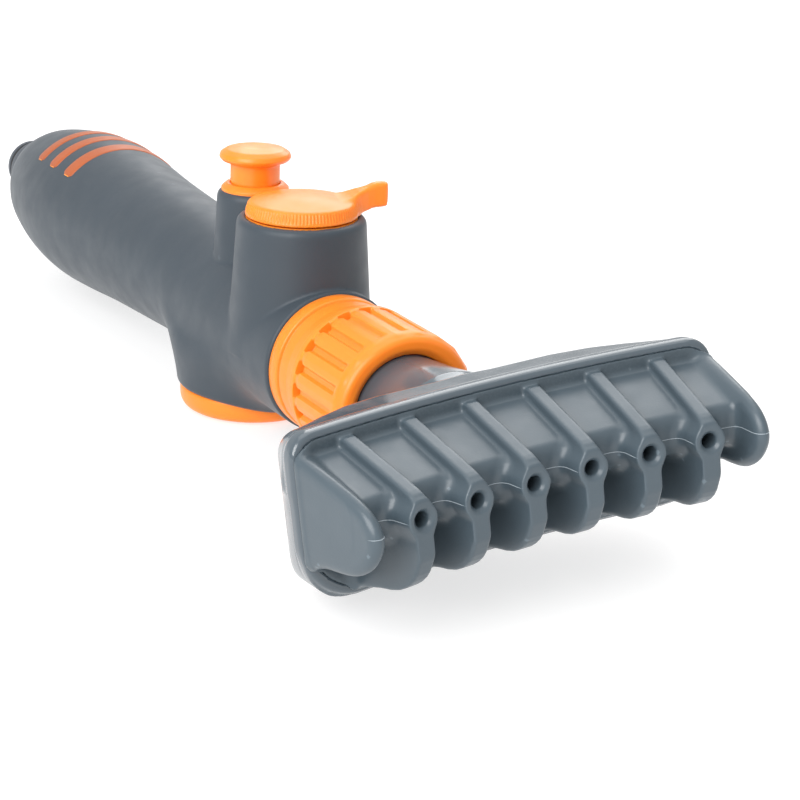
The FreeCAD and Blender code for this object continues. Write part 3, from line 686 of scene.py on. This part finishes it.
def flash_line(name, line):
    """A thin raised ridge along a line in the plane v = 0, fading at its ends."""
    height, width = 0.12, 0.13
    tangent = np.gradient(line, axis=0)
    tangent /= np.linalg.norm(tangent, axis=1)[:, None] + 1e-9
    outward = np.stack([tangent[:, 1], -tangent[:, 0]], 1)
    probe = comb_field(line[:, 0] + outward[:, 0] * 0.2, line[:, 1] + outward[:, 1] * 0.2,
                       np.zeros(len(line)), False)
    outward[probe < 0] *= -1
    taper = np.minimum(1, np.minimum(np.arange(len(line)), np.arange(len(line))[::-1]) / 4 + 0.15)
    rows = []
    for (a, b), (oa, ob), t in zip(line, outward, taper):
        row = []
        for out, up in ((-0.15, -width), (0.35 * height, -width * 0.45), (height, 0.0),
                        (0.35 * height, width * 0.45), (-0.15, width)):
            reach = out * (t if out > 0 else 1)
            row.append([a + oa * reach, b + ob * reach, up * t])
        rows.append(row)
    points, faces = ribbon(rows)
    make_piece(name, head_to_world(points), faces, "head", FLASH)


def flash_runs():
    """The parting line's stretches: off the jets' flat fronts and off the guards' outer faces."""
    def parting_plane(x, w):
        return comb_field(x, w, np.zeros(np.shape(x)), False)

    for line in chained(crossings(parting_plane, (-50, -8), (50, 19), 0.25)):
        keep = np.ones(len(line), bool)
        for angle in JET_ANGLES:
            c, s = math.cos(angle), math.sin(angle)
            across = line[:, 0] * c - (line[:, 1] + ARC_R) * s
            depth = line[:, 0] * s + (line[:, 1] + ARC_R) * c - ARC_R
            keep &= (np.abs(across) > 3.1) | (depth > 0.5)
        outer = (np.abs(line[:, 0]) - 46.0) * math.cos(TOE_IN) - (line[:, 1] - 19.5) * math.sin(TOE_IN) > 0.6
        keep &= ~outer | (line[:, 1] < -4.2)
        edges = np.flatnonzero(np.diff(np.concatenate([[0], keep.astype(int), [0]])))
        for start, stop in zip(edges[::2], edges[1::2]):
            if stop - start > 12:
                yield line[start:stop:2]


for number, line in enumerate(flash_runs()):
    flash_line(f"parting_line_{number}", line)


# ---------------------------------------------------------------- collar and nut
COLLAR = rounded_profile([
    (8.0, -191.5, 0), (8.0, SPIGOT_END, 0.3), (12.0, SPIGOT_END, 0.4), (12.6, SPIGOT_END + 0.8, 0.3)] + [
    corner for turn in range(5, 0, -1) for corner in (
        (12.6, COLLAR_FRONT - 1.5 - 1.8 * turn, 0.2), (13.2, COLLAR_FRONT - 1.0 - 1.8 * turn, 0.15),
        (13.2, COLLAR_FRONT - 0.7 - 1.8 * turn, 0.15), (12.6, COLLAR_FRONT - 0.2 - 1.8 * turn, 0.2))] + [
    (12.6, COLLAR_FRONT, 0.2), (15.6, COLLAR_FRONT, 0.5), (15.75, COLLAR_FRONT + 1.6, 0.5),
    (15.55, -205.4, 2.0), (15.85, -202.3, 0.4), (15.2, -202.0, 0.25), (15.2, -201.4, 0.25),
    (16.0, -201.1, 0.6), (16.2, -199.4, 1.0), (16.1, BODY_FRONT, 0.3), (11.5, BODY_FRONT, 0),
    (11.5, -191.5, 0)])
points, faces = turned_y(COLLAR, 200)
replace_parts(make_piece("collar_ring", points, faces, "body", ORANGE, sharp=40), "outlet_collar")

NUT = closer_points(rounded_profile([
    (13.6, NUT_REAR, 0.3), (17.1, NUT_REAR, 0.5), (17.1, NUT_REAR - 1.9, 0.5), (16.75, NUT_REAR - 2.5, 0.2),
    (16.95, NUT_REAR - 4.0, 1.0), (16.9, -226.0, 2.0), (16.9, -230.6, 3.0), (15.9, NUT_FRONT, 1.6),
    (13.6, NUT_FRONT, 1.6),
    (12.15, -231.9, 1.0), (12.15, -228.4, 0.2), (13.6, -228.4, 0.2)]), 0.45)
NUT_LANDS = 20
NUT_TURN = math.radians(8.0)


def nut_shape(r, y, angle):
    """Flat-bottomed grooves between the lands, with a rounded front end."""
    pitch = 2 * math.pi / NUT_LANDS
    off = (np.mod(angle + NUT_TURN, pitch) - pitch / 2) * 16.5
    rear = np.clip((y - (NUT_REAR - 3.7)) / 1.0, 0, 1)
    d = np.maximum(np.abs(off) - 0.85 - 0.55 * rear * rear, -229.0 - y)
    t = np.clip((d + 0.25) / 0.5, 0, 1)
    depth = (0.85 + 0.75 * rear) * (1 - t * t * (3 - 2 * t))
    crown = 0.18 * np.clip(off / 2.6, -1, 1) ** 2
    outside = (r > 14.8) & (y < NUT_REAR - 2.2) & (y > -231.5)
    return np.where(outside, r - depth + crown * t, r)


points, faces = turned_y(NUT, NUT_LANDS * 20, shape=nut_shape)
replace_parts(make_piece("nut_shell", points, faces, "nut", ORANGE, sharp=45), "coupling_nut")

# ---------------------------------------------------------------- button, bezel, spring, plug
BUTTON_HEAD = NOZZLE_Z + 37.9
BUTTON = rounded_profile([
    (0.01, NOZZLE_Z + 14.0, 0), (6.0, NOZZLE_Z + 14.0, 0.2), (5.9, BUTTON_HEAD - 0.3, 1.2),
    (7.9, BUTTON_HEAD + 0.25, 0.7),
    (8.65, BUTTON_HEAD + 1.1, 0.6), (8.3, BUTTON_HEAD + 2.1, 0.9), (6.9, BUTTON_HEAD + 3.0, 1.5),
    (3.6, BUTTON_HEAD + 3.5, 2.0), (0.01, BUTTON_HEAD + 3.6, 0)])
points, faces = turned_z(BUTTON, PLUNGER_Y)
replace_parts(make_piece("button_cap", points, faces, "plunger", ORANGE, sharp=40), "plunger_button")
BEZEL = rounded_profile([
    (6.1, BUTTON_TOWER_TOP - 0.3, 0), (8.1, BUTTON_TOWER_TOP - 0.3, 0), (8.1, BUTTON_TOWER_TOP + 0.45, 0.35),
    (6.9, BUTTON_TOWER_TOP + 1.5, 0.5), (6.1, BUTTON_TOWER_TOP + 1.6, 0.2)])
points, faces = turned_z(BEZEL, PLUNGER_Y)
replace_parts(make_piece("button_bezel", points, faces, "body", ORANGE, sharp=40), "plunger_bezel")


def return_spring():
    """Wire spring under the spool, its end turns closed."""
    low, high, coil_r, wire_r, turns = NOZZLE_Z - 20.6, NOZZLE_Z - 9.65, 5.4, 0.5, 5.0
    rows = []
    for t in np.linspace(0, 1, 241):
        angle = 2 * math.pi * turns * t
        height = low + (high - low) * (t * t * (3 - 2 * t) * 0.25 + t * 0.75)
        row = []
        for u in np.linspace(0, 2 * math.pi, 13)[:-1]:
            r = coil_r + wire_r * math.cos(u)
            row.append([r * math.cos(angle), PLUNGER_Y + r * math.sin(angle), height + wire_r * math.sin(u)])
        rows.append(row)
    points, faces = ribbon(rows)
    spring = make_piece("spring_coil", points, faces, "body", STEEL, sharp=60)
    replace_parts(spring, "plunger_spring")
    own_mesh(spring)


return_spring()
PLUG_SHAPE = rounded_profile([
    (4.5, -17.0, 0), (6.6, -17.0, 0.2), (6.6, -6.5, 0), (7.0, -6.5, 0.2), (7.0, -3.9, 0.4), (8.75, -3.0, 0.5),
    (8.75, 3.0, 0.5), (7.8, 3.9, 0.5), (7.8, 5.0, 0.2), (6.5, 5.1, 0.2), (6.5, 6.9, 0.2), (7.8, 7.0, 0.2),
    (7.8, 8.5, 0.6), (7.05, 9.6, 0.4), (5.3, 9.6, 0.2), (5.3, 8.0, 0.1), (4.5, 8.0, 0.1)])
points, faces = turned_y(PLUG_SHAPE, 128, z=0.0)
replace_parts(make_piece("plug_shell", points, faces, "body", PLUG, sharp=40), "inlet_plug")


# ---------------------------------------------------------------- cap
def cap_field(x, y, z):
    """Round cap with a soft lower edge, a shallow recess and a coin slot."""
    r = np.hypot(x, y - PLUNGER_Y)
    up = z - CAP_BOTTOM
    d = smax(r - 18.0, up - 5.8, 1.0)
    d = smax(d, -up, 3.6)
    d = smax(d, -np.maximum(r - 12.2, up - 0.6), 0.6)
    slot = np.maximum(np.maximum(np.abs(x) - 8.0, np.abs(y - PLUNGER_Y) - 0.9), up - 1.7)
    return smax(d, -slot, 0.3)


points, faces = field_mesh(cap_field, (-19.5, -174.5, -26.5), (19.5, -135.5, -17.5), 0.5 * FINE)
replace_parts(make_piece("cap_shell", points, faces, "body", ORANGE), "bottom_cap")

# ---------------------------------------------------------------- dial with its lever
LEVER = softened([(9.0, 0.1), (14.2, 0.1), (15.6, 0.4), (16.8, 0.95), (19.9, 1.15), (20.45, 1.7),
                  (20.45, 6.4), (20.0, 6.95), (17.2, 6.9), (15.4, 6.0), (12.4, 5.0), (9.6, 3.4),
                  (9.0, 2.5)], 1)
DIAL_LOW = TOWER_TOP + 0.3
KNURLS = 100


def dial_field(x, y, z):
    """Domed dial with a knurled side and a finger lever that lifts off its rim."""
    py, up = y - DIAL_Y, z - DIAL_LOW
    r, angle = np.hypot(x, py), np.arctan2(py, x)
    knurl = 0.13 * np.cos(KNURLS * angle) * np.clip(np.minimum(up - 0.7, 3.0 - up) / 0.3, 0, 1)
    side = (r - 13.15 + 0.3 * up - knurl) * 0.95
    top = (up - 3.1 - 1.3 * np.clip(1 - (r / 12.4) ** 2, 0, 1)) * 0.97
    d = smax(smax(side, top, 0.7), -up, 0.5)
    c, s = math.cos(LEVER_ANGLE), math.sin(LEVER_ANGLE)
    along, across = x * c + py * s, -x * s + py * c
    half = np.interp(along, [6.0, 11.5, 13.5, 15.4, 17.0, 20.5], [4.4, 3.5, 2.4, 1.65, 1.5, 1.55])
    lever = smax(polygon(along, up, LEVER), np.abs(across) - half, 1.2)
    return smin(d, lever, 1.8)


points, faces = field_mesh(dial_field, (-14.5, -195.5, 27.5), (22.5, -165.5, 37.5), 0.24 * FINE)
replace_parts(make_piece("dial_knob", points, faces, "dial", ORANGE), "flow_dial")

# ---------------------------------------------------------------- stage, light, camera
def white_floor(size, level):
    """A wide pale floor that curves up at its far end and glows a little."""
    verts = []
    for t in np.linspace(0, 1, 25):
        bend = max(0.0, t - 0.6) / 0.4
        verts += [(s * size / 2, (t - 0.45) * size, level + 0.9 * bend * bend) for s in (-1, 1)]
    mesh = bpy.data.meshes.new("floor")
    mesh.from_pydata(verts, [], [[i, i + 1, i + 3, i + 2] for i in range(0, len(verts) - 2, 2)])
    mesh.shade_smooth()
    mat = bpy.data.materials.new("floor_white")
    mat.use_nodes = True
    shader = mat.node_tree.nodes["Principled BSDF"]
    shader.inputs["Base Color"].default_value = (0.42, 0.42, 0.42, 1)
    shader.inputs["Emission Color"].default_value = (1, 1, 1, 1)
    shader.inputs["Emission Strength"].default_value = 0.65
    shader.inputs["Roughness"].default_value = 0.9
    shader.inputs["Specular IOR Level"].default_value = 0.1
    mesh.materials.append(mat)
    floor = bpy.data.objects.new("floor", mesh)
    bpy.context.scene.collection.objects.link(floor)


def soft_light(name, place, size, power):
    """A square lamp aimed at the middle of the nozzle."""
    data = bpy.data.lights.new(name, "AREA")
    data.size, data.energy = size, power
    lamp = bpy.data.objects.new(name, data)
    lamp.location = place
    lamp.rotation_euler = (Vector((0.0, -0.2, 0.0)) - Vector(place)).to_track_quat("-Z", "Y").to_euler()
    bpy.context.scene.collection.objects.link(lamp)


def main_camera(azimuth, elevation, roll, distance, target):
    """A long lens aimed at target, from azimuth (0 looks along +Y) and elevation, rolled about its axis."""
    back = Vector((math.sin(azimuth) * math.cos(elevation), -math.cos(azimuth) * math.cos(elevation),
                   math.sin(elevation)))
    level = (-back).cross(Vector((0, 0, 1))).normalized()
    upright = level.cross(-back)
    right = level * math.cos(roll) + upright * math.sin(roll)
    up = upright * math.cos(roll) - level * math.sin(roll)
    place = (target + back * distance) * MM
    data = bpy.data.cameras.new("camera")
    data.lens, data.sensor_width = 90.0, 36.0
    data.clip_start, data.clip_end = 0.01, 20.0
    camera = bpy.data.objects.new("camera", data)
    camera.matrix_world = Matrix((
        (right.x, up.x, back.x, place.x), (right.y, up.y, back.y, place.y),
        (right.z, up.z, back.z, place.z), (0, 0, 0, 1)))
    bpy.context.scene.collection.objects.link(camera)
    bpy.context.scene.camera = camera


white_floor(14.0, CAP_BOTTOM * MM - 0.0002)
soft_light("key", (-1.0, -0.75, 0.75), 1.0, 19.0)
soft_light("top", (0.1, 0.1, 1.4), 1.3, 6.5)
soft_light("rear", (0.7, 0.7, 0.8), 0.9, 7.0)
world = bpy.data.worlds.new("studio")
world.use_nodes = True
world.node_tree.nodes["Background"].inputs[0].default_value = (1, 1, 1, 1)
world.node_tree.nodes["Background"].inputs[1].default_value = 0.75
bpy.context.scene.world = world
bpy.context.scene.view_settings.view_transform = "Standard"
main_camera(math.radians(-29.53), math.radians(19.305), math.radians(2.043), 432.77,
            Vector((1.75, -226.22, NOZZLE_Z)))

bpy.context.view_layer.update()
